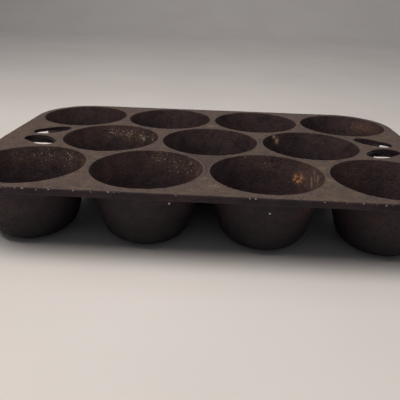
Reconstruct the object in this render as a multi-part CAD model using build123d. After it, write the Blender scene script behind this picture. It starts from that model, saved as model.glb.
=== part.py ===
from build123d import *
from math import cos, radians, sqrt, tan
import os

os.makedirs("parts", exist_ok=True)

# A muffin pan cast in iron: a flat deck carries eleven hanging cups in rows of four, three
# and four, and a pair of finger holes at each end makes a hand-hold. Millimetres; X runs
# along the rows, Z is up, and the origin is the middle of the surface the cups stand on.
# The casting is divided where one feature ends and the next begins, face to face.

# Overall size
LENGTH = 282.6
WIDTH = 193.7
HEIGHT = 41.5
CORNER_RADIUS = 39.8

# Layout: neighbouring cups are one pitch apart in every direction
PITCH = 68.6
ROW_SPACING = PITCH * sqrt(3) / 2
CUPS_IN_ROW = {"back": 4, "middle": 3, "front": 4}
ROW_PLACE = {"back": 1, "middle": 0, "front": -1}

# Cup: a tapered bowl of even wall with a flat bottom and a large corner radius
WALL = 2.4
WALL_SLOPE = radians(15.2)
CUP_RADIUS_AT_TOP = 34.76
CUP_BOTTOM_RADIUS = 15.4
LIP_RADIUS = 0.5
COLLAR_RADIUS = 33.3

# Deck: the thin sheet between the cups, with a deeper rounded rim round its edge
DECK_THICKNESS = 3.0
RIM_WIDTH = 2.6
RIM_DEPTH = 4.8
RIM_ROUNDING = 1.5

# Hand-hold: a rounded finger hole on each side of the pan's long middle line, and a rib under
# the bar between them
HOLE_CORNERS = [(125.8, 2.2), (112.2, 2.2), (102.2, 14.6), (103.2, 22.8), (112, 22.8), (125.8, 11.6)]
HOLE_CORNER_RADII = [6, 15, 7, 5.5, 9.5, 5.5]
HOLE_EDGE_ROUNDING = 0.8
RIB_WIDTH = 4.4
RIB_BOTTOM = HEIGHT - 6.2
RIB_ROUNDING = 0.8


def cup_centres():
    """Name and centre of every cup, row by row, counted along +X."""
    centres = {}
    for row, count in CUPS_IN_ROW.items():
        for index in range(count):
            x = (index - (count - 1) / 2) * PITCH
            y = ROW_PLACE[row] * ROW_SPACING
            centres[f"cup_{row}_{index + 1}"] = (x, y)
    return centres


def outside_radius(height):
    """Radius of a cup's sloping outside at a height above the standing surface."""
    return CUP_RADIUS_AT_TOP - (HEIGHT - height) * tan(WALL_SLOPE)


def inside_radius(height):
    """Radius of a cup's sloping inside, one wall thickness in from the outside."""
    return outside_radius(height) - WALL / cos(WALL_SLOPE)


def cup():
    """One cup about the Z axis: bowl, rounded lip, and the collar that fills its aperture."""
    deck_underside = HEIGHT - DECK_THICKNESS
    corners = [
        (0, 0),
        (outside_radius(0), 0),
        (outside_radius(deck_underside), deck_underside),
        (COLLAR_RADIUS, deck_underside),
        (COLLAR_RADIUS, HEIGHT),
        (inside_radius(HEIGHT), HEIGHT),
        (inside_radius(WALL), WALL),
        (0, WALL),
    ]
    roundings = [0, CUP_BOTTOM_RADIUS, 0, 0, 0, LIP_RADIUS, CUP_BOTTOM_RADIUS - WALL, 0]
    section = make_face(FilletPolyline(*corners, radius=roundings, close=True))
    return revolve(Plane.XZ * section, axis=Axis.Z)


def cup_filling():
    """The space inside a cup's outer surface below the deck."""
    deck_underside = HEIGHT - DECK_THICKNESS
    corners = [
        (0, 0),
        (outside_radius(0), 0),
        (outside_radius(deck_underside), deck_underside),
        (0, deck_underside),
    ]
    return revolve(Plane.XZ * make_face(Polyline(*corners, close=True)), axis=Axis.Z)


def deck_outline(inset):
    """Rounded rectangle of the deck, moved in from the edge."""
    return RectangleRounded(LENGTH - 2 * inset, WIDTH - 2 * inset, CORNER_RADIUS - inset)


def hung(sheet, thickness):
    """A plan sheet as a solid, its top level with the cups' lips."""
    return Pos(0, 0, HEIGHT - thickness) * extrude(sheet, thickness)


def edge_rim():
    """Rim round the deck's edge, rounded above and below."""
    block = hung(deck_outline(0), RIM_DEPTH)
    levels = block.edges().group_by(Axis.Z)
    return fillet(levels[0] + levels[-1], RIM_ROUNDING) - hung(deck_outline(RIM_WIDTH), RIM_DEPTH)


def deck_sheet():
    """The sheet inside the rim, with an aperture for every cup."""
    sheet = deck_outline(RIM_WIDTH)
    for x, y in cup_centres().values():
        sheet -= Pos(x, y) * Circle(COLLAR_RADIUS)
    return sheet


def end_zone():
    """Plan of the +X end: outboard of the lines from the middle cup to the two corner cups."""
    centres = cup_centres()
    corner_cup = centres["cup_back_4"]
    points = [
        centres["cup_middle_3"],
        corner_cup,
        (LENGTH, ROW_SPACING),
        (LENGTH, -ROW_SPACING),
        (corner_cup[0], -ROW_SPACING),
    ]
    return make_face(Polyline(*points, close=True))


def web():
    """The web between the cups, up to the grips."""
    return hung(deck_sheet() - end_zone() - mirror(end_zone(), Plane.YZ), DECK_THICKNESS)


def finger_hole():
    """Plan of the +X end's finger hole on the +Y side of the middle line."""
    return make_face(FilletPolyline(*HOLE_CORNERS, radius=HOLE_CORNER_RADII, close=True))


def end_grip():
    """The +X end's sheet with its two finger holes, their upper edges rounded."""
    hole = finger_hole()
    grip = hung((deck_sheet() & end_zone()) - hole - mirror(hole, Plane.XZ), DECK_THICKNESS)
    top = grip.faces().sort_by(Axis.Z)[-1]
    hole_edges = [edge for rim in top.inner_wires() for edge in rim.edges()]
    return fillet(hole_edges, HOLE_EDGE_ROUNDING)


def grip_rib():
    """Rib under the +X end's bar, from the middle cup to the rim, rounded below."""
    start = cup_centres()["cup_middle_3"][0]
    length = LENGTH / 2 - RIM_WIDTH - start
    height = HEIGHT - DECK_THICKNESS - RIB_BOTTOM
    middle = Pos(start + length / 2, 0, RIB_BOTTOM + height / 2)
    bar = middle * Box(length, RIB_WIDTH, height)
    lower = bar.edges().filter_by(Axis.X).group_by(Axis.Z)[0]
    return fillet(lower, RIB_ROUNDING) - Pos(start, 0) * cup_filling()


bowl = cup()
for name, (x, y) in cup_centres().items():
    export_step(Pos(x, y) * bowl, f"parts/{name}.step")
export_step(web(), "parts/deck_web.step")
export_step(edge_rim(), "parts/edge_rim.step")
grip = end_grip()
export_step(grip, "parts/grip_right.step")
export_step(mirror(grip, Plane.YZ), "parts/grip_left.step")
rib = grip_rib()
export_step(rib, "parts/grip_rib_right.step")
export_step(mirror(rib, Plane.YZ), "parts/grip_rib_left.step")
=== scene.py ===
from math import atan2, cos, pi, radians, sin, sqrt, tan

import bpy
import numpy as np
from mathutils import Matrix, Vector
from mathutils.geometry import delaunay_2d_cdt


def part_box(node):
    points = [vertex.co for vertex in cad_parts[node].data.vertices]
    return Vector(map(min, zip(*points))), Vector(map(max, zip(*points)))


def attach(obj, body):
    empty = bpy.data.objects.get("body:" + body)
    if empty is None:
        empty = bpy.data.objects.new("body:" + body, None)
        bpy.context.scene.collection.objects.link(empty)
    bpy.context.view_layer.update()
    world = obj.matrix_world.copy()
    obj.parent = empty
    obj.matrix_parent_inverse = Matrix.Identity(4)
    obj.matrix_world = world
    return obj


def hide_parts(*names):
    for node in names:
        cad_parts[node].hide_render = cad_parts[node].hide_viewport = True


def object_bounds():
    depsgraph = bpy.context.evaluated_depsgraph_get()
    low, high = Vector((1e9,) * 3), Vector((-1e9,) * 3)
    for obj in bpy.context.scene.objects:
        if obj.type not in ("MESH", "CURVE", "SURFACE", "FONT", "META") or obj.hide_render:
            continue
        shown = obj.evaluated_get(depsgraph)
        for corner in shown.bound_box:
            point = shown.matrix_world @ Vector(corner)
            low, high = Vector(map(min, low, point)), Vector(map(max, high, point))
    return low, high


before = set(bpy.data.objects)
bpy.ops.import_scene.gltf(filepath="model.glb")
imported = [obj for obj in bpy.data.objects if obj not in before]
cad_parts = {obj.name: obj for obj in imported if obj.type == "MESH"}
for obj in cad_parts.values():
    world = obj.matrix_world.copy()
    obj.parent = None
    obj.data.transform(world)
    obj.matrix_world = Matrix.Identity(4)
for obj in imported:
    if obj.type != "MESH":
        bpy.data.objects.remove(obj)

# A cast-iron muffin pan: each feature of the casting is one dense mesh with the casting's own
# relief. Lengths are in metres, in the CAD frame; MM turns millimetres into metres.
MM = 0.001
CAD_LOW, CAD_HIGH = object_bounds()

# ---- Sizes of the casting, as in the CAD model ----
LENGTH = CAD_HIGH.x - CAD_LOW.x
WIDTH = CAD_HIGH.y - CAD_LOW.y
DECK_TOP = CAD_HIGH.z
DECK_THICKNESS = 3.0 * MM
DECK_UNDERSIDE = DECK_TOP - DECK_THICKNESS
CORNER_RADIUS = 39.8 * MM
RIM_WIDTH = 2.6 * MM
RIM_DEPTH = 4.8 * MM
RIM_ROUNDING = 1.5 * MM
WALL = 2.4 * MM
WALL_SLOPE = radians(15.2)
CUP_RADIUS_AT_TOP = 34.76 * MM
CUP_BOTTOM_RADIUS = 15.4 * MM
LIP_RADIUS = 0.5 * MM
COLLAR_RADIUS = 33.3 * MM
# The corners of the +X, +Y finger hole in plan and their radii, in millimetres
HOLE_CORNERS = [(125.8, 2.2), (112.2, 2.2), (102.2, 14.6), (103.2, 22.8), (112, 22.8), (125.8, 11.6)]
HOLE_CORNER_RADII = [6, 15, 7, 5.5, 9.5, 5.5]
HOLE_EDGE_ROUNDING = 0.8 * MM
RIB_WIDTH = 4.4 * MM
RIB_BOTTOM = DECK_TOP - 6.2 * MM
RIB_ROUNDING = 0.8 * MM
CUPS = sorted(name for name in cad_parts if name.startswith("cup_"))
CENTRES = {name: (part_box(name)[0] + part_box(name)[1]) / 2 for name in CUPS}
MOUTHS = np.array([[c.x, c.y] for c in CENTRES.values()])

# ---- Mesh density ----
ROUND_COUNT = 192
FINE_STEP = 1.0 * MM
LIP_STEP = 0.35 * MM
COLLAR_STEP = 0.4 * MM
EDGE_STEP = 0.9 * MM
HOLE_STEP = 0.8 * MM
WEB_STEP = 1.25 * MM
ROW_STEP = WEB_STEP * sqrt(3) / 2
SEAM_ANGLE = radians(55)

# Fillet between the cups and the underside of the deck, and how far one feature of the casting
# runs on inside the next where their rough skins would leave a gap
UNDER_FILLET = 1.6 * MM
OVERLAP = 0.7 * MM
# Over this height the rough skin of a cup's outside fades in below its seam with the deck
SEAM_FADE = 2 * MM
# Bevel at the foot of the rim's inner side, and where the wall of a finger hole ends above the
# sheet's underside
RIM_FOOT_BEVEL = 0.4 * MM
HOLE_FOOT = 0.3 * MM

# The casting's rough skin, in millimetres: its usual and greatest depth, then each layer of
# noise as (size of its lumps, depth)
SKIN_DEPTH, SKIN_LIMIT = 0.14, 0.45
SKIN_LUMPS = (17, 0.08), (7, 0.05)
SKIN_GRAIN = (3.1, 0.035), (2.1, 0.025)
PIT_SIZE, PIT_DEPTH = 2.6, 0.15


# ---------------------------------------------------------------- noise
def hashed(x, y, z, seed):
    """A repeatable value from -1 to 1 for each whole lattice point."""
    n = (x * 73856093) ^ (y * 19349663) ^ (z * 83492791) ^ (seed * 2654435)
    n = (n ^ (n >> 13)) * 1274126177 & 0x7FFFFFFF
    n = (n ^ (n >> 16)) * 668265263 & 0x7FFFFFFF
    return (n % 65536) / 32768.0 - 1.0


def noise(points, size, seed=0):
    """Smooth noise from -1 to 1, about one lump to each size, at points in metres."""
    p = points / size
    cell = np.floor(p).astype(np.int64)
    f = p - cell
    f = f * f * f * (f * (f * 6 - 15) + 10)
    total = np.zeros(len(points))
    for dx in (0, 1):
        for dy in (0, 1):
            for dz in (0, 1):
                weight = np.abs(1 - dx - f[:, 0]) * np.abs(1 - dy - f[:, 1]) * np.abs(1 - dz - f[:, 2])
                total += weight * hashed(cell[:, 0] + dx, cell[:, 1] + dy, cell[:, 2] + dz, seed)
    return total


def smooth(low, high, value):
    """0 at low and 1 at high, with a soft start and end; low may be the greater."""
    t = np.clip((value - low) / (high - low), 0, 1)
    return t * t * (3 - 2 * t)


def two_noises(points, layers, seed):
    """Two layers of noise together, each given as size and depth in millimetres."""
    coarse, fine = [noise(points, size * MM, seed + k) * depth for k, (size, depth) in enumerate(layers)]
    return coarse + fine


def relief(points):
    """Depth of the casting's rough skin below its true surface: lumps, grain and open pits."""
    lumps = two_noises(points, SKIN_LUMPS, 1)
    grain = two_noises(points, SKIN_GRAIN, 3)
    pits = smooth(0.5, 0.95, noise(points, PIT_SIZE * MM, 5)) * PIT_DEPTH
    return np.clip(SKIN_DEPTH + lumps + grain + pits, 0, SKIN_LIMIT) * MM


# ---------------------------------------------------------------- outlines
def divisions(length, step):
    """How many equal parts of about one step a length takes."""
    return max(1, int(round(length / step)))


def edge_outline(step):
    """Points on the deck's edge, anticlockwise from above, and their outward directions."""
    half_x, half_y = LENGTH / 2 - CORNER_RADIUS, WIDTH / 2 - CORNER_RADIUS
    points, outward = [], []
    for turn, (sx, sy) in enumerate([(1, 1), (-1, 1), (-1, -1), (1, -1)]):
        centre = np.array((sx * half_x, sy * half_y))
        count = divisions(CORNER_RADIUS * pi / 2, step)
        for k in range(count + 1):
            angle = (turn + k / count) * pi / 2
            outward.append(np.array((cos(angle), sin(angle))))
            points.append(centre + CORNER_RADIUS * outward[-1])
        side = 2 * (half_x if turn % 2 == 0 else half_y)
        along = np.array((-outward[-1][1], outward[-1][0]))
        corner_end = points[-1]
        count = divisions(side, step)
        for k in range(1, count):
            points.append(corner_end + along * side * k / count)
            outward.append(outward[-1])
    return np.array(points), np.array(outward)


def hole_outline(step):
    """Points round the +X, +Y finger hole, and the directions that lead out of the hole."""
    corners = [Vector(corner) * MM for corner in HOLE_CORNERS]
    points, outward = [], []
    for index, corner in enumerate(corners):
        before = (corners[index - 1] - corner).normalized()
        after = (corners[(index + 1) % len(corners)] - corner).normalized()
        radius = HOLE_CORNER_RADII[index] * MM
        half_angle = before.angle(after) / 2
        centre = corner + (before + after).normalized() * (radius / sin(half_angle))
        start = corner + before * (radius / tan(half_angle)) - centre
        end = corner + after * (radius / tan(half_angle)) - centre
        first = atan2(start.y, start.x)
        turn = (atan2(end.y, end.x) - first + pi) % (2 * pi) - pi
        if points:
            straight = centre + start - points[-1]
            count = divisions(straight.length, step)
            points += [points[-1] + straight * k / count for k in range(1, count)]
            outward += [outward[-1]] * (count - 1)
        count = divisions(abs(turn) * radius, step)
        for k in range(count + 1):
            angle = first + turn * k / count
            outward.append(Vector((cos(angle), sin(angle))))
            points.append(centre + outward[-1] * radius)
    closing = points[0] - points[-1]
    count = divisions(closing.length, step)
    points += [points[-1] + closing * k / count for k in range(1, count)]
    outward += [outward[-1]] * (count - 1)
    return np.array(points), np.array(outward)


EDGE_POINTS, EDGE_OUTWARD = edge_outline(EDGE_STEP)
HOLE_POINTS, HOLE_OUTWARD = hole_outline(HOLE_STEP)


# ---------------------------------------------------------------- marks of use
def arrays_of_zeros(count, *names):
    return {name: np.zeros(count) for name in names}


def closeness(co, spot, spread):
    """Closeness, 0 to 1, of points to a spot; the spot and its spread are in millimetres."""
    return np.exp(-(((co / MM - spot) / spread) ** 2).sum(1))


def on_wall(cup, bearing, height):
    """A spot on a cup's inside, in millimetres: bearing round the cup, height above the table."""
    centre = CENTRES[cup] / MM
    radius = wall_radius(height * MM, True) / MM
    return (centre.x + radius * cos(radians(bearing)), centre.y + radius * sin(radians(bearing)), height)


# Each kind of mark but the rim's, all kept as values from 0 to 1 at the points
KINDS = "crumb", "rust", "pale", "wear", "soot"
# Marks inside the cups: kind, cup, bearing in degrees, height and spread in X, Y and Z in
# millimetres, strength
SPOTS = [
    ("crumb", "cup_middle_1", 100, 37, (9, 6, 5), 0.8),
    ("crumb", "cup_middle_1", 78, 35, (10, 8, 6), 0.9),
    ("crumb", "cup_middle_1", 55, 35.5, (10, 9, 7), 0.8),
    ("crumb", "cup_middle_1", 32, 37, (7, 10, 6), 0.75),
    ("crumb", "cup_front_1", 125, 36, (12, 8, 7), 0.5),
    ("crumb", "cup_front_1", 95, 35.5, (12, 9, 8), 0.6),
    ("crumb", "cup_front_1", 62, 35, (11, 9, 9), 0.68),
    ("crumb", "cup_front_1", 28, 37, (8, 11, 7), 0.62),
    ("crumb", "cup_front_2", 85, 37, (10, 7, 7), 0.72),
    ("crumb", "cup_front_2", 62, 34, (10, 8, 8), 0.6),
    ("crumb", "cup_front_2", 42, 36, (10, 9, 8), 0.66),
    ("crumb", "cup_front_2", 16, 36, (7, 10, 7), 0.7),
    ("crumb", "cup_front_3", 108, 38.5, (12, 6, 5), 0.6),
    ("crumb", "cup_front_3", 84, 36, (9, 6, 8), 0.45),
    ("crumb", "cup_front_4", 120, 37, (14, 9, 6), 0.18),
    ("crumb", "cup_back_4", 58, 35, (9, 7, 5), 0.4),
    ("crumb", "cup_back_4", 33, 37, (9, 9, 5), 0.5),
    ("ring", "cup_front_3", 43, 31.3, (2.4, 2.4, 2.0), 1.0),
    ("rust", "cup_front_3", 43, 33.2, (1.7, 1.7, 1.5), 1.0),
    ("wear", "cup_front_3", 15, 34.5, (10, 17, 10), 1.0),
    ("wear", "cup_front_2", 12, 36, (9, 13, 8), 0.55),
    ("wear", "cup_front_2", 150, 34, (13, 12, 9), 0.3),
    ("wear", "cup_front_1", 25, 36, (9, 12, 8), 0.55),
    ("wear", "cup_front_4", 125, 34, (16, 12, 9), 0.5),
    ("wear", "cup_middle_1", 140, 35, (13, 12, 8), 0.2),
    ("wear", "cup_back_4", 20, 36, (8, 12, 7), 0.45),
    ("rust", "cup_back_4", 45, 35, (8, 8, 4), 0.16),
    ("rust", "cup_middle_3", 131, 37, (2.2, 2.2, 2.4), 0.45),
    ("pale", "cup_middle_3", 135, 39.6, (1.5, 1.5, 1.2), 1.0),
    ("pale", "cup_middle_3", 130, 36.4, (1.3, 1.3, 1.8), 1.0),
]
# Marks elsewhere: kind, place and spread in millimetres, strength. The deck's top is at 41.5.
OUTER_SPOTS = [
    ("rust", (54.5, -83, 29), (3.5, 3, 4.5), 0.14),
    ("rust", (-101, -89, 24), (12, 6, 10), 0.030),
    ("rust", (97, -88, 26), (12, 6, 9), 0.030),
]
DECK_SPOTS = [
    ("pale", (-0.2, -72.7, 41.5), (2.4, 1.6, 3), 0.16),
    ("pale", (5.5, -83.8, 41.5), (3.0, 2.6, 3), 0.14),
    ("pale", (0.1, 40, 41.5), (3.4, 2.6, 3), 0.18),
    ("pale", (-66, -45, 41.5), (2.6, 1.8, 3), 0.14),
    ("pale", (67.6, -47.7, 41.5), (2.6, 1.8, 3), 0.14),
    ("pale", (66.6, -67.4, 41.5), (3.0, 2.0, 3), 0.14),
    ("soot", (2, -48, 41.5), (42, 26, 3), 0.55),
    ("rust", (83.6, -82.6, 41.5), (0.9, 0.9, 3), 0.9),
    ("rust", (112.4, 1.5, 41.5), (1.6, 0.9, 3), 0.8),
]
# Pale runs down the inside of one front cup: start, end and width in millimetres, strength
RUNS = [
    ((62.4, -46.4, 35.9), (62.4, -50.8, 30.2), 2.0, 0.65),
    ((63.5, -46.5, 40.3), (63.5, -51.9, 33.5), 1.6, 0.4),
    ((64.8, -52.3, 38.1), (64.6, -55.2, 35.5), 3.0, 0.7),
]
# Single bright flecks, in millimetres: place and radius. The two on the cups' outsides are painted
# highlights of small casting bumps; the two on the deck are bare chips.
FLECKS_AND_HIGHLIGHTS = [
    ((-18, -87, 31.6), 0.8),
    ((34.4, -91.1, 30.4), 0.7),
    ((77, -73.8, 41.2), 1.3),
    ((75.6, -71.4, 41.0), 0.8),
]


def marks_at(co, spots):
    """The strength of each kind of mark at points, from a list of spots in one frame."""
    marks = arrays_of_zeros(len(co), *KINDS)
    for kind, spot, spread, strength in spots:
        near = closeness(co, spot, spread)
        if kind == "ring":
            kind, near = "rust", 4 * near * (1 - near)
        marks[kind] = np.maximum(marks[kind], strength * near)
    return marks


def cup_marks(co, cup, inner):
    """Marks inside and outside one cup; inner tells which points are on its inside."""
    inside = [(kind, on_wall(cup, bearing, height), spread, strength)
              for kind, where, bearing, height, spread, strength in SPOTS if where == cup]
    within, without = marks_at(co, inside), marks_at(co, OUTER_SPOTS)
    return {kind: np.where(inner, within[kind], without[kind]) for kind in within}


# Chips along the rim's upper edge: places in X on the front edge, and how many more all round.
# Radii and heights above the start of the rounding are in millimetres.
FRONT_CHIPS = [-102.3, -100.1, -97.5, -95.4, -93.6, -91.9, -78.1, -76.0, -74.0, -65.4, -47.6, -44.6,
               -42.1, 26.1, 31.1, 38.9, 71.0, 78.8, 85.6, 93.2]
FRONT_CHIP_HEIGHT = 0.9
FRONT_CHIP_RADIUS, FRONT_CHIP_RADIUS_STEP = 0.36, 0.09
EDGE_CHIPS = 36
EDGE_CHIP_STRENGTH = 0.8
CHIP_DEPTH = 0.16 * MM
# The fine wear between the chips, and on the rim's upright face
EDGE_WEAR = 0.3
RIM_FACE_WEAR = 0.25
# How far from the edge of a cup's collar the golden wear of the web starts and is full
ISLAND_START, ISLAND_FULL = -2.5 * MM, 7 * MM


# ---------------------------------------------------------------- meshes
def build(name, verts, faces, marks, slot, node):
    """One piece of the casting, with its marks of use kept as named values at the points."""
    mesh = bpy.data.meshes.new(name)
    mesh.from_pydata([tuple(v) for v in verts], [], faces)
    mesh.validate()
    mesh.shade_smooth()
    mesh.set_sharp_from_angle(angle=SEAM_ANGLE)
    for key, values in marks.items():
        layer = mesh.attributes.new(key, "FLOAT", "POINT")
        layer.data.foreach_set("value", np.asarray(values, np.float32))
    piece = bpy.data.objects.new(name, mesh)
    bpy.context.scene.collection.objects.link(piece)
    mesh.materials.append(MATERIALS[slot])
    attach(piece, "root")
    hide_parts(node)


def top_mark(points, facing):
    """1 on the deck's upper surface, where hands and racks have worn the seasoning pale."""
    return smooth(0.30, 0.80, facing) * (points[:, 2] > DECK_TOP - 2 * MM)


def island_mark(points):
    """0 at a cup's mouth, rising to 1 in the middle of the web between three cups."""
    start, full = COLLAR_RADIUS + ISLAND_START, COLLAR_RADIUS + ISLAND_FULL
    return smooth(start, full, mouth_distance(points[:, :2]))


# -- cups
def line(start, end, normal, amounts, step):
    """A straight stretch of a section: (radius, height, normal, share of relief), end left out.

    amounts holds the share of relief at the start and at the end.
    """
    start, end = np.array(start), np.array(end)
    count = divisions(np.linalg.norm(end - start), step)
    stretch = []
    for k in range(count):
        share = k / count
        amount = amounts[0] + (amounts[1] - amounts[0]) * share
        stretch.append((*(start + (end - start) * share), *normal, amount))
    return stretch


def bend(centre, radius, first, last, sense, step):
    """A curved stretch of a section; sense is 1 where the iron is inside the curve, else -1."""
    count = max(4, divisions(abs(last - first) * radius, step))
    stretch = []
    for k in range(count):
        angle = first + (last - first) * k / count
        c, s = cos(angle), sin(angle)
        stretch.append((centre[0] + radius * c, centre[1] + radius * s, sense * c, sense * s, 1))
    return stretch


def wall_radius(height, inside):
    """Radius of a cup's sloping wall at a height, on its inside or its outside."""
    outer = CUP_RADIUS_AT_TOP - (DECK_TOP - height) * tan(WALL_SLOPE)
    return outer - WALL / cos(WALL_SLOPE) if inside else outer


def cup_section():
    """Half-section of a cup from the middle of its floor, up and over the lip, to its foot."""
    slope = WALL_SLOPE
    out_wall = (cos(slope), -sin(slope))
    in_wall = (-cos(slope), sin(slope))
    corner_height = CUP_BOTTOM_RADIUS
    flat = wall_radius(0, False) - CUP_BOTTOM_RADIUS * tan((pi / 2 - slope) / 2)
    inner_bend = CUP_BOTTOM_RADIUS - WALL
    rim_tangent = LIP_RADIUS * tan((pi / 2 - slope) / 2)
    lip_centre = (wall_radius(DECK_TOP, True) + rim_tangent, DECK_TOP - LIP_RADIUS)
    lip_start = (lip_centre[0] + LIP_RADIUS * in_wall[0], lip_centre[1] + LIP_RADIUS * in_wall[1])
    in_top = (flat + inner_bend * cos(slope), corner_height - inner_bend * sin(slope))
    out_top = (flat + CUP_BOTTOM_RADIUS * cos(slope), corner_height - CUP_BOTTOM_RADIUS * sin(slope))
    shoulder = (wall_radius(DECK_UNDERSIDE, False), DECK_UNDERSIDE)
    faded = (shoulder[0] - SEAM_FADE * sin(slope), shoulder[1] - SEAM_FADE * cos(slope))
    section = line((0, WALL), (flat, WALL), (0, 1), (1, 1), FINE_STEP)
    section += bend((flat, corner_height), inner_bend, -pi / 2, -slope, -1, FINE_STEP)
    section += line(in_top, lip_start, in_wall, (1, 1), FINE_STEP)
    section += bend(lip_centre, LIP_RADIUS, pi - slope, pi / 2, 1, LIP_STEP)
    collar_edge = (COLLAR_RADIUS, DECK_TOP)
    section += line((lip_centre[0], DECK_TOP), collar_edge, (0, 1), (1, 1), COLLAR_STEP)
    section += [(COLLAR_RADIUS, DECK_TOP, 0, 1, 1)]
    section += [(COLLAR_RADIUS, DECK_UNDERSIDE, 1, 0, 0)]
    section += line(shoulder, faded, out_wall, (0, 1), FINE_STEP)
    section += line(faded, out_top, out_wall, (1, 1), FINE_STEP)
    section += bend((flat, corner_height), CUP_BOTTOM_RADIUS, -slope, -pi / 2, 1, FINE_STEP)
    section += line((flat, 0), (0, 0), (0, -1), (1, 1), FINE_STEP)
    return np.array(section + [(0, 0, 0, -1, 1)])


def lathe(section, centre):
    """The section turned about a vertical axis; its first and last points lie on the axis."""
    rings = section[1:-1]
    angles = np.arange(ROUND_COUNT) * 2 * pi / ROUND_COUNT
    c, s = np.cos(angles), np.sin(angles)
    base = np.stack([np.outer(rings[:, 0], c) + centre.x, np.outer(rings[:, 0], s) + centre.y,
                     np.repeat(rings[:, 1:2], ROUND_COUNT, 1)], -1).reshape(-1, 3)
    normal = np.stack([np.outer(rings[:, 2], c), np.outer(rings[:, 2], s),
                       np.repeat(rings[:, 3:4], ROUND_COUNT, 1)], -1).reshape(-1, 3)
    amount = np.repeat(rings[:, 4], ROUND_COUNT)
    ends = np.array([(centre.x, centre.y, section[0, 1]), (centre.x, centre.y, section[-1, 1])])
    base = np.vstack([base, ends])
    normal = np.vstack([normal, [(0, 0, 1), (0, 0, -1)]])
    amount = np.append(amount, (1, 1))
    verts = base - normal * (relief(base) * amount)[:, None]
    n, faces = ROUND_COUNT, []
    for ring in range(len(rings) - 1):
        for k in range(n):
            a, b = ring * n + k, ring * n + (k + 1) % n
            faces.append((a + n, b + n, b, a))
    first, last = len(verts) - 2, len(verts) - 1
    final = (len(rings) - 1) * n
    # A known fault: these two small fans on the axis face the other way from the rings
    faces += [(first, (k + 1) % n, k) for k in range(n)]
    faces += [(last, final + k, final + (k + 1) % n) for k in range(n)]
    return base, normal[:, 2], verts, faces


def cup(name):
    base, facing, verts, faces = lathe(cup_section(), CENTRES[name])
    inner = facing > 0
    marks = cup_marks(base, name, inner)
    marks["inside"] = inner.astype(float)
    marks["top"] = top_mark(base, facing)
    marks["island"] = island_mark(base)
    marks["edge"] = np.zeros(len(base))
    build(name + "_casting", verts, faces, marks, "bowl_iron", name)


# -- rim
def rim_section():
    """Section of the rim, outward from its seam with the deck, down and back under it."""
    low = DECK_TOP - RIM_DEPTH
    r = RIM_ROUNDING
    quarter = [k / 6 * pi / 2 for k in range(7)]
    section = [(RIM_WIDTH, DECK_TOP, 0, 1), ((RIM_WIDTH + r) / 2, DECK_TOP, 0, 1)]
    section += [(r - r * sin(a), DECK_TOP - r + r * cos(a), sin(a), cos(a)) for a in quarter]
    straight = RIM_DEPTH - 2 * r
    section += [(0, DECK_TOP - r - straight * k / 4, 1, 0) for k in range(1, 4)]
    section += [(r - r * cos(a), low + r - r * sin(a), cos(a), -sin(a)) for a in quarter]
    section += [(RIM_WIDTH - RIM_FOOT_BEVEL, low, 0, -1), (RIM_WIDTH, low + RIM_FOOT_BEVEL, -1, 0)]
    return np.array(section + [(RIM_WIDTH, DECK_UNDERSIDE, -1, 0)])


def knock_places():
    """Places on the rim's upper edge where knocks have chipped the seasoning to bare iron."""
    rng = np.random.default_rng(11)
    low = DECK_TOP - RIM_ROUNDING
    places = []
    for k, x in enumerate(FRONT_CHIPS):
        radius = FRONT_CHIP_RADIUS + FRONT_CHIP_RADIUS_STEP * (k * 7 % 4)
        places.append((x * MM, -WIDTH / 2, low + FRONT_CHIP_HEIGHT * MM, radius * MM, 1.0))
    for point in EDGE_POINTS[rng.integers(0, len(EDGE_POINTS), EDGE_CHIPS)]:
        height, radius = rng.uniform(0.2, 1.2), rng.uniform(0.3, 0.6)
        places.append((*point, low + height * MM, radius * MM, EDGE_CHIP_STRENGTH))
    return places


def rim():
    section = rim_section()
    stations, size = len(EDGE_POINTS), len(section)
    flat = EDGE_POINTS[:, None, :] - EDGE_OUTWARD[:, None, :] * section[None, :, 0:1]
    base = np.concatenate([flat, np.repeat(section[None, :, 1:2], stations, 0)], -1).reshape(-1, 3)
    sideways = EDGE_OUTWARD[:, None, :] * section[None, :, 2:3]
    normal = np.concatenate([sideways, np.repeat(section[None, :, 3:4], stations, 0)], -1).reshape(-1, 3)
    chips = np.zeros(len(base))
    for x, y, z, spread, strength in knock_places():
        near = closeness(base, np.array((x, y, z)) / MM, spread / MM)
        chips = np.maximum(chips, strength * near)
    verts = base - normal * (relief(base) + smooth(0.1, 0.9, chips) * CHIP_DEPTH)[:, None]
    seam = slice(size - 1, None, size)
    verts[seam, :2] = base[seam, :2]
    verts[seam, 2] = underside(base[seam, :2])
    faces = []
    for i in range(stations):
        j = (i + 1) % stations
        for k in range(size):
            m = (k + 1) % size
            faces.append((i * size + k, i * size + m, j * size + m, j * size + k))
    marks = {**marks_at(base, DECK_SPOTS), **arrays_of_zeros(len(verts), "inside")}
    upward = normal[:, 2]
    marks["edge"] = np.maximum(chips, EDGE_WEAR * smooth(0.2, 0.6, upward) * smooth(1, 0.8, upward))
    marks["top"] = np.maximum(smooth(0.70, 0.98, upward), RIM_FACE_WEAR * (upward > -0.5))
    marks["island"] = island_mark(base)
    build("edge_rim_casting", verts, faces, marks, "deck_iron", "edge_rim")


# -- web and grips
def constraint_loops():
    """The closed outlines that bound the deck's sheet, in plan."""
    angles = np.arange(ROUND_COUNT) * 2 * pi / ROUND_COUNT
    ring = COLLAR_RADIUS * np.stack([np.cos(angles), np.sin(angles)], 1)
    loops = [mouth + ring for mouth in MOUTHS]
    loops.append(EDGE_POINTS - EDGE_OUTWARD * RIM_WIDTH)
    grown = HOLE_POINTS + HOLE_OUTWARD * HOLE_EDGE_ROUNDING
    for sx in (1, -1):
        for sy in (1, -1):
            loops.append(grown * (sx, sy))
    return loops


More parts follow.
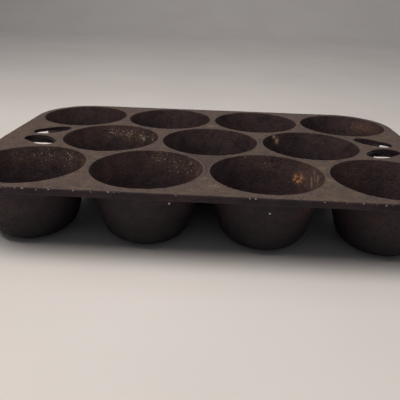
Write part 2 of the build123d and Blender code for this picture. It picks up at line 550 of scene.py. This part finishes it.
def cut_ends():
    """Plan ends of the two short cuts that part the +X, +Y quarter of a grip from the web."""
    middle = np.array(CENTRES["cup_middle_3"][:2])
    corner = np.array(CENTRES["cup_back_4"][:2])
    toward = (corner - middle) / np.linalg.norm(corner - middle)
    rim_points = EDGE_POINTS - EDGE_OUTWARD * RIM_WIDTH
    away = rim_points - (LENGTH / 2 - RIM_WIDTH, corner[1])
    beside = rim_points[np.argmin(np.linalg.norm(away, axis=1))]
    return [(middle + toward * COLLAR_RADIUS, corner - toward * COLLAR_RADIUS),
            (corner + (COLLAR_RADIUS, 0), beside)]


def side_of(line_ends, points):
    """Positive to the left of a line from its first end to its second."""
    start, end = line_ends
    run = end - start
    away = points - start
    return run[0] * away[:, 1] - run[1] * away[:, 0]


def inside_outline(points, outline):
    """Whether each plan point is inside a closed outline, by counting crossings."""
    inside = np.zeros(len(points), bool)
    following = np.roll(outline, -1, axis=0)
    for (x0, y0), (x1, y1) in zip(outline, following):
        if y0 != y1:
            crosses = (points[:, 1] < y0) != (points[:, 1] < y1)
            at = x0 + (points[:, 1] - y0) * (x1 - x0) / (y1 - y0)
            inside ^= crosses & (points[:, 0] < at)
    return inside


def edge_distance(points):
    """Distance in from the deck's edge."""
    half = np.array((LENGTH / 2 - CORNER_RADIUS, WIDTH / 2 - CORNER_RADIUS))
    beyond = np.abs(points) - half
    outside = np.linalg.norm(np.maximum(beyond, 0), axis=1) + np.minimum(beyond.max(1), 0)
    return CORNER_RADIUS - outside


def mouth_distance(points):
    """Distance of plan points from the middle of the nearest cup."""
    return np.min([np.linalg.norm(points - mouth, axis=1) for mouth in MOUTHS], axis=0)


def on_sheet(points, margin):
    """Whether plan points lie on the iron of the sheet, and this far from its outlines."""
    grown = HOLE_POINTS + HOLE_OUTWARD * (HOLE_EDGE_ROUNDING + margin)
    off_cups = mouth_distance(points) > COLLAR_RADIUS + margin
    off_rim = edge_distance(points) > RIM_WIDTH + margin
    return off_cups & off_rim & ~inside_outline(np.abs(points), grown)


def sheet_triangles():
    """The sheet's plan as points, triangles, and the outline points that each point came from."""
    loops = constraint_loops()
    points = np.vstack(loops)
    edges, start = [], 0
    for loop in loops:
        edges += [(start + k, start + (k + 1) % len(loop)) for k in range(len(loop))]
        start += len(loop)
    for sx in (1, -1):
        for sy in (1, -1):
            for ends in cut_ends():
                places = [np.argmin(np.linalg.norm(points - end * (sx, sy), axis=1)) for end in ends]
                edges.append(tuple(int(place) for place in places))
    rows = int(WIDTH / 2 / ROW_STEP) + 1
    columns = int(LENGTH / 2 / WEB_STEP) + 1
    grid = np.array([((i + (j % 2) / 2) * WEB_STEP, j * ROW_STEP)
                     for j in range(-rows, rows + 1) for i in range(-columns, columns + 1)])
    points = np.vstack([points, grid[on_sheet(grid, 0.5 * WEB_STEP)]])
    same_place = 1e-4
    flat, _, triangles, origins, _, _ = delaunay_2d_cdt(
        [Vector(p) / MM for p in points], edges, [], 0, same_place)
    return np.array(flat) * MM, np.array(triangles), origins


def hole_rings():
    """Rings down a finger hole's wall from its rounded upper edge: growth, height, normal."""
    r = HOLE_EDGE_ROUNDING
    quarter = [k / 4 * pi / 2 for k in range(1, 5)]
    upper = [(r - r * sin(a), DECK_TOP - r + r * cos(a), sin(a), cos(a)) for a in quarter]
    return upper + [(0, DECK_UNDERSIDE + HOLE_FOOT, 1, 0)]


def hole_points_by_index():
    """For every input point on a finger hole's outline: its plan place and outward direction."""
    start = len(CUPS) * ROUND_COUNT + len(EDGE_POINTS)
    found = {}
    for sx in (1, -1):
        for sy in (1, -1):
            for place, outward in zip(HOLE_POINTS * (sx, sy), HOLE_OUTWARD * (sx, sy)):
                found[start] = (place, outward)
                start += 1
    return found


def underside(plan):
    """Height of the deck's rough underside at plan points, filleted to the cups."""
    low = np.column_stack([plan, np.full(len(plan), DECK_UNDERSIDE)])
    clear = mouth_distance(plan) - wall_radius(DECK_UNDERSIDE - UNDER_FILLET / 2, False)
    to_go = UNDER_FILLET - np.clip(clear, 0, UNDER_FILLET)
    drop = UNDER_FILLET - np.sqrt(UNDER_FILLET ** 2 - to_go ** 2)
    return DECK_UNDERSIDE + relief(low) * smooth(0, UNDER_FILLET, clear) - drop


def plate(name, flat, triangles, origins):
    """A stretch of the deck's sheet as a closed plate, filleted to the cups underneath."""
    used, triangles = np.unique(triangles, return_inverse=True)
    triangles = triangles.reshape(-1, 3)
    plan, count = flat[used], len(used)
    top = np.column_stack([plan, np.full(count, DECK_TOP)])
    base = list(top) + list(np.column_stack([plan, np.full(count, DECK_UNDERSIDE)]))
    facing = [1.0] * count + [-1.0] * count
    verts = list(top - np.outer(relief(top), (0, 0, 1))) + list(np.column_stack([plan, underside(plan)]))
    directed = {(int(t[k]), int(t[(k + 1) % 3])) for t in triangles for k in range(3)}
    border = [edge for edge in directed if edge[::-1] not in directed]
    hole_points, rings = hole_points_by_index(), hole_rings()
    chains = {}
    for point in sorted({p for edge in border for p in edge}):
        chain = [point]
        on_hole = [hole_points[o] for o in origins[used[point]] if o in hole_points]
        if on_hole:
            place, outward = on_hole[0]
            for growth, height, sideways, upwards in rings:
                spot = np.array((*(place + outward * growth), height))
                normal = np.array((*(-outward * sideways), upwards))
                base.append(spot)
                facing.append(upwards)
                verts.append(spot - normal * relief(spot[None])[0])
                chain.append(len(verts) - 1)
        chains[point] = chain + [point + count]
    faces = [tuple(int(v) for v in t) for t in triangles]
    faces += [tuple(int(v) + count for v in t[::-1]) for t in triangles]
    for a, b in sorted(border):
        for (a0, a1), (b0, b1) in zip(zip(chains[a], chains[a][1:]), zip(chains[b], chains[b][1:])):
            faces.append((a0, a1, b1, b0))
    base = np.array(base)
    marks = {**marks_at(base, DECK_SPOTS), **arrays_of_zeros(len(verts), "inside", "edge")}
    marks["top"] = top_mark(base, np.array(facing))
    marks["island"] = island_mark(base)
    build(name + "_casting", verts, faces, marks, "deck_iron", name)


def rib(name, side):
    """Rib under the bar between two finger holes; side is 1 at the +X end and -1 at the other."""
    half, r = RIB_WIDTH / 2, RIB_ROUNDING
    quarter = [k / 4 * pi / 2 for k in range(5)]
    right = [(half, DECK_UNDERSIDE + OVERLAP, 1, 0)]
    right += [(half - r + r * cos(a), RIB_BOTTOM + r - r * sin(a), cos(a), -sin(a)) for a in quarter]
    section = np.array(right + [(-y, z, -ny, nz) for y, z, ny, nz in reversed(right)])
    middle = CENTRES["cup_middle_3"].x
    start = middle + wall_radius(section[:, 1], False) - OVERLAP
    end = LENGTH / 2 - RIM_WIDTH + OVERLAP
    stations, size = divisions(end - start[0], FINE_STEP) + 1, len(section)
    base, normal = [], []
    for station in range(stations):
        x = start + (end - start) * station / (stations - 1)
        base.append(np.column_stack([side * x, side * section[:, 0], section[:, 1]]))
        normal.append(np.column_stack([np.zeros(size), side * section[:, 2], section[:, 3]]))
    base, normal = np.vstack(base), np.vstack(normal)
    verts = base - normal * relief(base)[:, None]
    faces = [tuple(range(size)), tuple(range(len(base) - 1, len(base) - size - 1, -1))]
    for i in range(stations - 1):
        for k in range(size):
            a, b = i * size + k, i * size + (k + 1) % size
            faces.append((a, a + size, b + size, b))
    marks = arrays_of_zeros(len(verts), *KINDS, "inside", "edge", "top", "island")
    build(name + "_casting", verts, faces, marks, "deck_iron", name)


def deck():
    """The web and the two grips, from one triangulation, so that they meet point to point."""
    flat, triangles, origins = sheet_triangles()
    middles = flat[triangles].mean(1)
    keep = on_sheet(middles, 0)
    triangles, middles = triangles[keep], middles[keep]
    corners = flat[triangles]
    area = np.cross(corners[:, 1] - corners[:, 0], corners[:, 2] - corners[:, 0])
    triangles[area < 0] = triangles[area < 0][:, ::-1]
    neck, rim_side = cut_ends()
    folded = np.abs(middles)
    at_end = (side_of(neck, folded) < 0) & (side_of(rim_side, folded) < 0)
    plate("deck_web", flat, triangles[~at_end], origins)
    plate("grip_right", flat, triangles[at_end & (middles[:, 0] > 0)], origins)
    plate("grip_left", flat, triangles[at_end & (middles[:, 0] < 0)], origins)
    rib("grip_rib_right", 1)
    rib("grip_rib_left", -1)


# ---------------------------------------------------------------- materials
class Shader:
    """A node material under construction: each method adds one node and returns its output."""

    def __init__(self, name):
        self.material = bpy.data.materials.new(name)
        self.material.use_nodes = True
        self.tree = self.material.node_tree
        self.surface = self.tree.nodes["Principled BSDF"]
        coordinates = self.tree.nodes.new("ShaderNodeTexCoord").outputs["Object"]
        self.place = self.vector("SCALE", coordinates, 1 / MM)

    def link(self, value, socket):
        if isinstance(value, bpy.types.NodeSocket):
            self.tree.links.new(value, socket)
        else:
            socket.default_value = value

    def vector(self, operation, first, scale):
        node = self.tree.nodes.new("ShaderNodeVectorMath")
        node.operation = operation
        self.link(first, node.inputs[0])
        node.inputs["Scale"].default_value = scale
        return node.outputs[0]

    def mark(self, name):
        """One of the values kept at the points."""
        node = self.tree.nodes.new("ShaderNodeAttribute")
        node.attribute_name = name
        return node.outputs["Fac"]

    def height(self):
        """Height above the table, in millimetres."""
        node = self.tree.nodes.new("ShaderNodeSeparateXYZ")
        self.link(self.place, node.inputs[0])
        return node.outputs["Z"]

    def noise(self, size, detail=3, roughness=0.55, shift=0.0, distortion=0.0):
        """Noise whose lumps are about this many millimetres across."""
        node = self.tree.nodes.new("ShaderNodeTexNoise")
        node.noise_dimensions = "4D"
        node.inputs["W"].default_value = shift
        node.inputs["Scale"].default_value = 1 / size
        node.inputs["Detail"].default_value = detail
        node.inputs["Roughness"].default_value = roughness
        node.inputs["Distortion"].default_value = distortion
        self.link(self.place, node.inputs["Vector"])
        return node.outputs["Fac"]

    def cells(self, size):
        """Distance to the nearest of many points, about this many millimetres apart."""
        node = self.tree.nodes.new("ShaderNodeTexVoronoi")
        node.inputs["Scale"].default_value = 1 / size
        self.link(self.place, node.inputs["Vector"])
        return node.outputs["Distance"]

    def rise(self, value, low, high, bottom=0.0, top=1.0):
        """From bottom to top, softly, as a value goes from low to high."""
        node = self.tree.nodes.new("ShaderNodeMapRange")
        node.interpolation_type = "SMOOTHSTEP"
        ends = {"From Min": low, "From Max": high, "To Min": bottom, "To Max": top}
        for socket, amount in ends.items():
            self.link(amount, node.inputs[socket])
        self.link(value, node.inputs["Value"])
        return node.outputs["Result"]

    def distance(self, place):
        """Distance to a place, both in millimetres."""
        node = self.tree.nodes.new("ShaderNodeVectorMath")
        node.operation = "DISTANCE"
        self.link(self.place, node.inputs[0])
        node.inputs[1].default_value = place
        return node.outputs["Value"]

    def fleck(self, place, radius):
        """1 within this many millimetres of a place, with a soft edge."""
        return self.rise(self.distance(place), radius, radius * 0.5)

    def run(self, start, end, width):
        """1 along a thin line between two places, with a soft edge, all in millimetres."""
        length = (Vector(end) - Vector(start)).length
        detour = self.plus(self.distance(start), self.distance(end))
        spare = width ** 2 / length / 2
        return self.rise(detour, length + spare, length + spare / 4)

    def math(self, operation, first, second):
        node = self.tree.nodes.new("ShaderNodeMath")
        node.operation = operation
        self.link(first, node.inputs[0])
        self.link(second, node.inputs[1])
        return node.outputs[0]

    def plus(self, first, second):
        return self.math("ADD", first, second)

    def times(self, first, second):
        return self.math("MULTIPLY", first, second)

    def mix(self, share, first, second):
        """From the first colour to the second as share goes from 0 to 1."""
        node = self.tree.nodes.new("ShaderNodeMix")
        node.data_type = "RGBA"
        self.link(share, node.inputs["Factor"])
        for socket, colour in ((node.inputs[6], first), (node.inputs[7], second)):
            self.link(colour if isinstance(colour, bpy.types.NodeSocket) else (*colour, 1), socket)
        return node.outputs[2]

    def bump(self, height, strength, distance, below=None):
        node = self.tree.nodes.new("ShaderNodeBump")
        node.inputs["Strength"].default_value = strength
        node.inputs["Distance"].default_value = distance
        self.link(height, node.inputs["Height"])
        if below:
            self.link(below, node.inputs["Normal"])
        return node.outputs["Normal"]


# Linear colours of the iron and of the marks on it
DECK_DARK, DECK_LIGHT = (0.082, 0.056, 0.052), (0.122, 0.084, 0.069)
DECK_GOLDEN, DECK_WORN = (0.138, 0.096, 0.060), (0.140, 0.101, 0.068)
DECK_MOTTLE, DECK_SOOT = (0.038, 0.027, 0.026), (0.036, 0.026, 0.025)
DECK_GRAIN_DARK, DECK_GRAIN_LIGHT = (0.032, 0.023, 0.021), (0.170, 0.125, 0.090)
BOWL_DARK, BOWL_LIGHT = (0.016, 0.0098, 0.0125), (0.037, 0.0195, 0.0225)
BOWL_NEAR_LIP, BOWL_MOTTLE = (0.080, 0.047, 0.045), (0.080, 0.043, 0.040)
BOWL_GRAIN_LIGHT, BOWL_GRAIN_DARK = (0.118, 0.070, 0.062), (0.008, 0.006, 0.006)
UNDER_DARK, UNDER_LIGHT = (0.0165, 0.0098, 0.0135), (0.033, 0.0168, 0.0215)
# The second colour on the next line is painted shade for the lower outsides of the cups
UNDER_BROWN, UNDER_PAINTED_SHADE = (0.050, 0.0205, 0.0195), (0.0060, 0.0046, 0.0062)
CRUMB_DARK, CRUMB_LIGHT, CRUMB_FILM = (0.24, 0.145, 0.075), (0.55, 0.44, 0.34), (0.118, 0.074, 0.046)
WALL_WEAR, WALL_RUN = (0.150, 0.091, 0.070), (0.30, 0.225, 0.170)
RUST_DARK, RUST_LIGHT = (0.30, 0.105, 0.045), (0.74, 0.38, 0.19)
# The second colour on the next line is used for bare chips and also for painted highlights on the cups'
# outsides
PALE_SCRAPE, BARE_FLECK_AND_HIGHLIGHT = (0.62, 0.46, 0.33), (0.66, 0.60, 0.54)
BARE_IRON, PIT_BLACK = (0.36, 0.31, 0.28), (0.014, 0.010, 0.010)
FLOOR_DARK, FLOOR_LIGHT = (0.79, 0.755, 0.72), (0.83, 0.795, 0.76)


class Iron(Shader):
    """Old seasoned cast iron under construction, with the noises that its layers share."""

    def __init__(self, name):
        super().__init__(name)
        self.broad = self.noise(21, 4, 0.6, 1)
        self.patches = self.noise(8, 5, 0.65, 2, 0.4)
        self.mottle = self.noise(2.6, 5, 0.65, 3)
        self.grain = self.noise(0.9, 3, 0.65, 4)
        self.specks = self.noise(0.95, 3, 0.7, 6)
        self.pits = self.rise(self.cells(1.9), 0.10, 0.34, 1, 0)


def deck_colour(s):
    """Worn taupe with dark mottling, golden in the middle of the web, sooty where marked."""
    colour = s.mix(s.rise(s.patches, 0.30, 0.70), DECK_DARK, DECK_LIGHT)
    golden = s.times(s.mark("island"), s.rise(s.broad, 0.42, 0.70, 0, 0.85))
    colour = s.mix(golden, colour, DECK_GOLDEN)
    worn_through = s.rise(s.noise(3.6, 4, 0.6, 14), 0.46, 0.64, 0, 0.6)
    colour = s.mix(worn_through, colour, DECK_WORN)
    colour = s.mix(s.rise(s.mottle, 0.48, 0.68, 0, 0.65), colour, DECK_MOTTLE)
    colour = s.mix(s.rise(s.grain, 0.50, 0.66, 0, 0.55), colour, DECK_GRAIN_DARK)
    colour = s.mix(s.rise(s.grain, 0.46, 0.34, 0, 0.45), colour, DECK_GRAIN_LIGHT)
    return s.mix(s.times(s.mark("soot"), 0.9), colour, DECK_SOOT)


def bowl_colour(s):
    """Near-black seasoning inside the cups, browner towards the lip."""
    colour = s.mix(s.rise(s.patches, 0.36, 0.64), BOWL_DARK, BOWL_LIGHT)
    near_lip = s.times(s.rise(s.height(), 20, 42), s.rise(s.patches, 0.30, 0.62, 0.10, 0.65))
    colour = s.mix(near_lip, colour, BOWL_NEAR_LIP)
    colour = s.mix(s.rise(s.mottle, 0.50, 0.75, 0, 0.6), colour, BOWL_MOTTLE)
    colour = s.mix(s.rise(s.grain, 0.55, 0.72, 0, 0.45), colour, BOWL_GRAIN_LIGHT)
    return s.mix(s.rise(s.grain, 0.48, 0.34, 0, 0.45), colour, BOWL_GRAIN_DARK)


def under_colour(s):
    """Outside and underneath: brown-black, with painted shade taking it to near black towards the foot.
    """
    colour = s.mix(s.rise(s.patches, 0.38, 0.68), UNDER_DARK, UNDER_LIGHT)
    colour = s.mix(s.rise(s.broad, 0.52, 0.75, 0, 0.7), colour, UNDER_BROWN)
    # Painted shade: the cups' outsides darken to near black from 30 mm down to 6 mm above the table
    return s.mix(s.rise(s.height(), 6, 30, 0.95, 0), colour, UNDER_PAINTED_SHADE)


def crumb_share(s):
    """Where the baked-on specks are, 0 to 1."""
    crumb = s.rise(s.plus(s.specks, s.times(s.mark("crumb"), 0.24)), 0.69, 0.80)
    return s.times(crumb, s.rise(s.mark("crumb"), 0.05, 0.3))


def with_crumbs(s, colour, crumb):
    """Baked-on specks, on the brown film round them."""
    film = s.times(s.rise(s.mottle, 0.36, 0.60), s.times(s.mark("crumb"), 0.6))
    colour = s.mix(film, colour, CRUMB_FILM)
    tint = s.mix(s.rise(s.noise(2.1, 2, 0.5, 7), 0.42, 0.62), CRUMB_DARK, CRUMB_LIGHT)
    return s.mix(crumb, colour, tint)


def with_wear(s, colour):
    """The worn stretches of the cups' walls, and the pale runs down one of them."""
    wear = s.times(s.mark("wear"), s.rise(s.noise(2.4, 4, 0.6, 10), 0.34, 0.62, 0.25, 1))
    colour = s.mix(wear, colour, WALL_WEAR)
    for start, end, width, strength in RUNS:
        broken = s.rise(s.noise(1.2, 3, 0.6, 13), 0.36, 0.5, 0.3, 1)
        run = s.times(s.run(start, end, width), broken)
        colour = s.mix(s.times(run, strength), colour, WALL_RUN)
    return colour


def with_rust_and_scrapes(s, colour):
    """Rust, pale scrapes, bright flecks (bare chips on the deck, painted highlights on the cups'
    outsides) and the bare iron of the rim's chips.
    """
    rust = s.times(s.mark("rust"), s.rise(s.noise(1.4, 4, 0.7, 8), 0.40, 0.56))
    flake = s.rise(s.noise(1.7, 2, 0.5, 11), 0.40, 0.58)
    colour = s.mix(rust, colour, s.mix(flake, RUST_DARK, RUST_LIGHT))
    pale = s.times(s.mark("pale"), s.rise(s.noise(1.3, 3, 0.6, 9), 0.35, 0.5))
    colour = s.mix(pale, colour, PALE_SCRAPE)
    # Bright flecks: bare chips on the deck, and painted highlights on the cups' outsides
    for place, radius in FLECKS_AND_HIGHLIGHTS:
        colour = s.mix(s.fleck(place, radius), colour, BARE_FLECK_AND_HIGHLIGHT)
    bare = s.rise(s.plus(s.mark("edge"), s.times(s.specks, 0.9)), 0.86, 1.0, 0, 0.85)
    return s.mix(bare, colour, BARE_IRON)


def skin(s, crumb):
    """Fine bumps: specks and grain stand out, and pits go in."""
    raised = s.plus(s.times(crumb, 1.2), s.times(s.grain, 1.2))
    fine = s.bump(s.math("SUBTRACT", raised, s.pits), 0.6, 0.28 * MM)
    return s.bump(s.mottle, 0.5, 0.5 * MM, fine)


def iron(name):
    """Old seasoned cast iron: near-black bowls, a worn taupe deck, marks of use, and painted shade and
    painted highlights on the cups' outsides.
    """
    s = Iron(name)
    colour = s.mix(s.mark("inside"), under_colour(s), bowl_colour(s))
    worn = s.rise(s.plus(s.mark("top"), s.times(s.grain, 0.3)), 0.45, 0.95)
    colour = s.mix(worn, colour, deck_colour(s))
    crumb = crumb_share(s)
    colour = with_crumbs(s, colour, crumb)
    colour = with_wear(s, colour)
    colour = with_rust_and_scrapes(s, colour)
    colour = s.mix(s.times(s.pits, 0.55), colour, PIT_BLACK)

    s.link(colour, s.surface.inputs["Base Color"])
    s.link(s.rise(s.mottle, 0.3, 0.7, 0.74, 0.54), s.surface.inputs["Roughness"])
    s.surface.inputs["Metallic"].default_value = 0.0
    s.surface.inputs["Specular IOR Level"].default_value = 0.30
    s.link(skin(s, crumb), s.surface.inputs["Normal"])
    return s.material


def pale_surface():
    """The floor: a pale matt surface with faint broad clouds."""
    s = Shader("pale_floor")
    cloud = s.rise(s.noise(160, 3, 0.5, 12), 0.3, 0.7)
    s.link(s.mix(cloud, FLOOR_DARK, FLOOR_LIGHT), s.surface.inputs["Base Color"])
    s.surface.inputs["Roughness"].default_value = 0.6
    s.surface.inputs["Specular IOR Level"].default_value = 0.25
    return s.material


# ---------------------------------------------------------------- stage, lights and camera
def stage():
    """A pale floor that curves up into a backdrop a long way behind the pan."""
    front, turn_start, turn_radius, wall_top = -4.0, 1.5, 0.5, 1.6
    section = [(front, 0.0), (turn_start, 0.0)]
    turn_steps = 12
    for k in range(1, turn_steps + 1):
        a = k / turn_steps * pi / 2
        section.append((turn_start + turn_radius * sin(a), turn_radius - turn_radius * cos(a)))
    section.append((turn_start + turn_radius, wall_top))
    half_width = 4.0
    verts = [(x, y, z) for y, z in section for x in (-half_width, half_width)]
    faces = [(2 * k, 2 * k + 1, 2 * k + 3, 2 * k + 2) for k in range(len(section) - 1)]
    mesh = bpy.data.meshes.new("floor")
    mesh.from_pydata(verts, [], faces)
    mesh.shade_smooth()
    mesh.materials.append(pale_surface())
    floor = bpy.data.objects.new("floor", mesh)
    bpy.context.scene.collection.objects.link(floor)


def soft_light(name, place, target, size, power, colour):
    """A round area light at a place, turned towards a target."""
    lamp = bpy.data.lights.new(name, "AREA")
    lamp.shape = "DISK"
    lamp.size = size
    lamp.energy = power
    lamp.color = colour
    light = bpy.data.objects.new(name, lamp)
    light.location = place
    light.rotation_euler = (Vector(target) - Vector(place)).to_track_quat("-Z", "Y").to_euler()
    bpy.context.scene.collection.objects.link(light)


def studio():
    """Warm light from above, a broad fill from higher up, light on the backdrop, a cool surround."""
    soft_light("overhead", (-0.20, -0.18, 0.80), (0, 0, 0.02), 0.60, 4.9, (1.0, 0.93, 0.885))
    soft_light("fill", (0.5, 0.4, 2.4), (0, 0, 0.02), 2.0, 6.0, (1.0, 0.95, 0.92))
    soft_light("backdrop", (0, 1.0, 1.7), (0, 2.0, 0.3), 1.2, 2.6, (1.0, 0.97, 0.97))
    world = bpy.data.worlds.new("studio")
    world.use_nodes = True
    background = world.node_tree.nodes["Background"]
    background.inputs["Color"].default_value = (0.93, 0.95, 1.0, 1)
    background.inputs["Strength"].default_value = 0.14
    bpy.context.scene.world = world
    bpy.context.scene.view_settings.view_transform = "Standard"


def camera():
    """In front of the pan and some 90 mm above its deck, looking down at it, rolled slightly."""
    place = Vector((7.6, -305.7, 130.3)) * MM
    azimuth, elevation, roll = radians(-2.49), radians(-23.62), radians(1.67)
    forward = Vector((sin(azimuth) * cos(elevation), cos(azimuth) * cos(elevation), sin(elevation)))
    level = forward.cross(Vector((0, 0, 1))).normalized()
    upright = level.cross(forward)
    right = level * cos(roll) + upright * sin(roll)
    up = right.cross(forward)
    data = bpy.data.cameras.new("camera")
    data.sensor_width = 36
    data.lens = 41.24
    data.clip_start = 0.01
    eye = bpy.data.objects.new("camera", data)
    turn = Matrix((right, up, -forward)).transposed()
    eye.matrix_world = Matrix.Translation(place) @ turn.to_4x4()
    bpy.context.scene.collection.objects.link(eye)
    bpy.context.scene.camera = eye


MATERIALS = {slot: iron(slot) for slot in ("bowl_iron", "deck_iron")}
for cup_name in CUPS:
    cup(cup_name)
rim()
deck()
stage()
studio()
camera()
